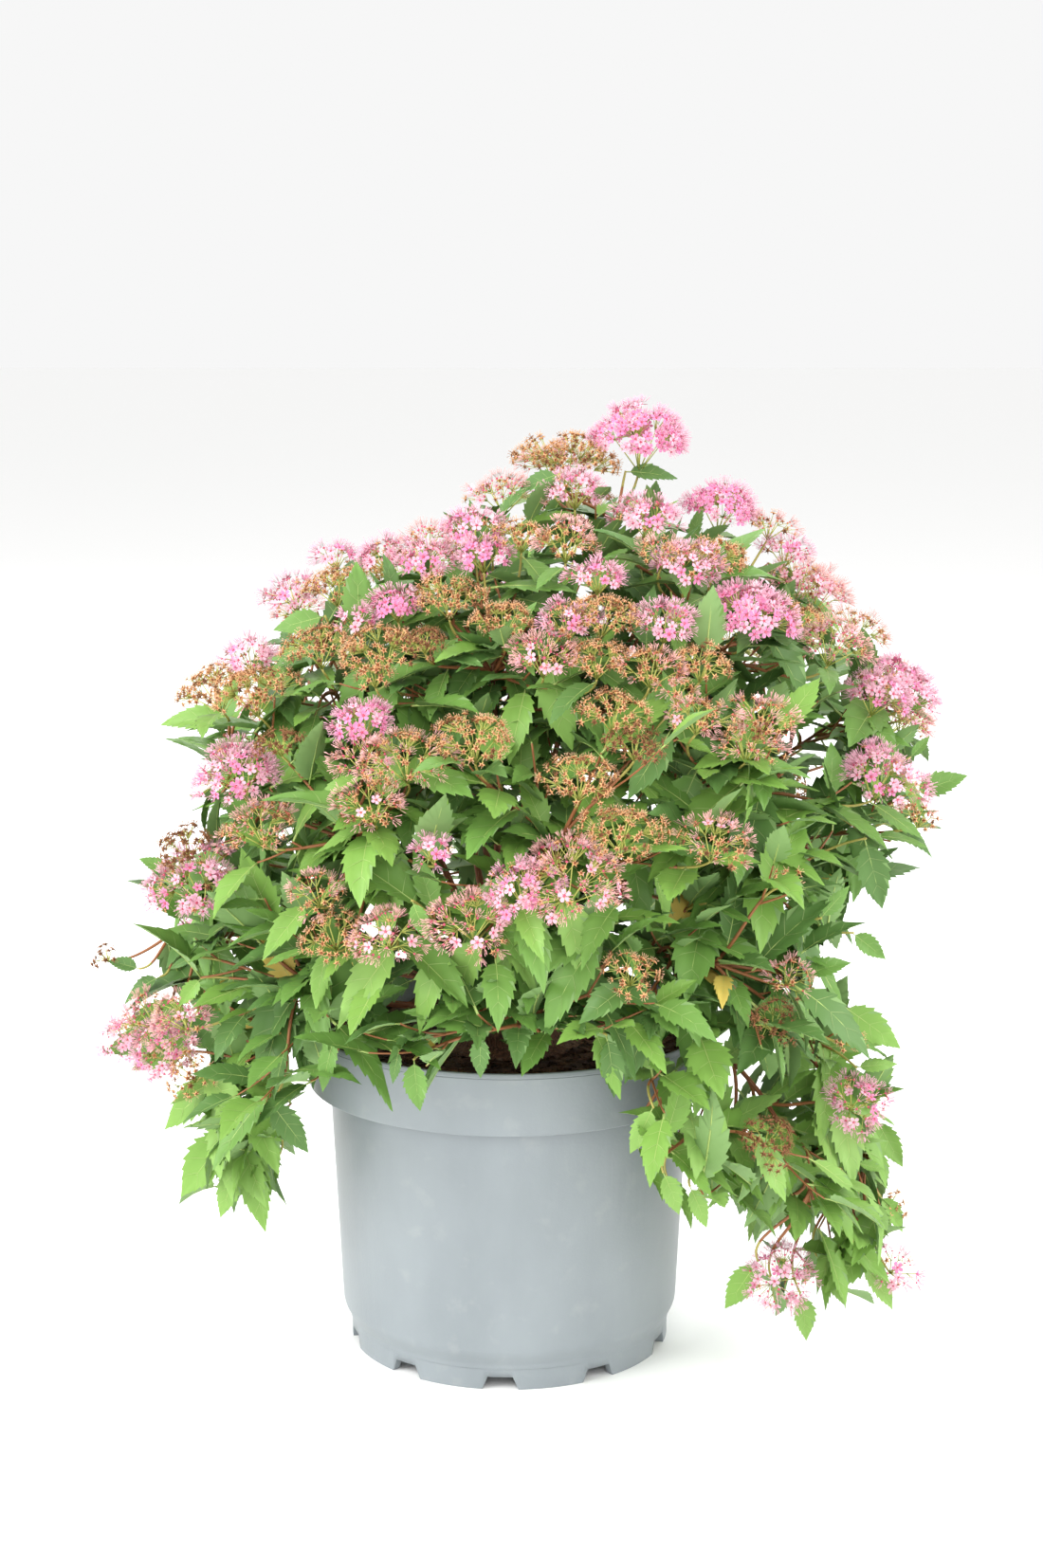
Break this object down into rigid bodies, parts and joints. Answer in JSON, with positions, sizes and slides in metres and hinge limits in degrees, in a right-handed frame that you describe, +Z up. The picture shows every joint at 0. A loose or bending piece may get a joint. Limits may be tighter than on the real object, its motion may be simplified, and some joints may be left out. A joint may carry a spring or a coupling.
{
  "type": "potted spirea shrub",
  "caption": "Potted dwarf spirea: a low flowering shrub with many arching stems, toothed leaves and flat pink flower heads, standing in a grey plastic nursery pot.",
  "frame": {"origin": "on the pot's axis at the height of the ground, which is the middle of the underside of the whole part's box", "axes": "+Z up; -Y to the front, the side that was pictured; +X to the right seen from the front"},
  "size_m": [0.3959, 0.3537, 0.4368],
  "materials": {
    "pot_plastic": "satin moulded polypropylene",
    "soil": "rough, moist peat and bark",
    "bark": "smooth young bark",
    "foliage": "leaves with a soft sheen",
    "blossom": "matt petals"
  },
  "bodies": {
    "root": {"pot": "pot_plastic", "soil": "soil", "woody_base": "bark", "bough_top_right": "bark", "bough_top_left": "bark", "bough_upper_front": "bark", "bough_upper_right": "bark", "bough_upper_back_right": "bark", "bough_upper_back": "bark", "bough_upper_left": "bark", "bough_middle_front": "bark", "bough_middle_front_right": "bark", "bough_middle_right": "bark", "bough_middle_back_right": "bark", "bough_middle_back": "bark", "bough_middle_back_left": "bark", "bough_middle_left": "bark", "bough_middle_front_left": "bark", "bough_lower_front": "bark", "bough_lower_front_right": "bark", "bough_lower_right": "bark", "bough_lower_back_right": "bark", "bough_lower_back": "bark", "bough_lower_back_left": "bark", "bough_lower_left": "bark", "bough_lower_front_left": "bark", "bough_trailing_right": "bark", "bough_trailing_front_right": "bark", "bough_trailing_front": "bark", "bough_trailing_left": "bark", "foliage_top_right": "foliage", "foliage_top_left": "foliage", "foliage_upper_front": "foliage", "foliage_upper_right": "foliage", "foliage_upper_back_right": "foliage", "foliage_upper_back": "foliage", "foliage_upper_left": "foliage", "foliage_middle_front": "foliage", "foliage_middle_front_right": "foliage", "foliage_middle_right": "foliage", "foliage_middle_back_right": "foliage", "foliage_middle_back": "foliage", "foliage_middle_back_left": "foliage", "foliage_middle_left": "foliage", "foliage_middle_front_left": "foliage", "foliage_lower_front": "foliage", "foliage_lower_front_right": "foliage", "foliage_lower_right": "foliage", "foliage_lower_back_right": "foliage", "foliage_lower_back": "foliage", "foliage_lower_back_left": "foliage", "foliage_lower_left": "foliage", "foliage_lower_front_left": "foliage", "foliage_trailing_right": "foliage", "foliage_trailing_front_right": "foliage", "foliage_trailing_front": "foliage", "foliage_trailing_left": "foliage"}
  },
  "joints": []
}
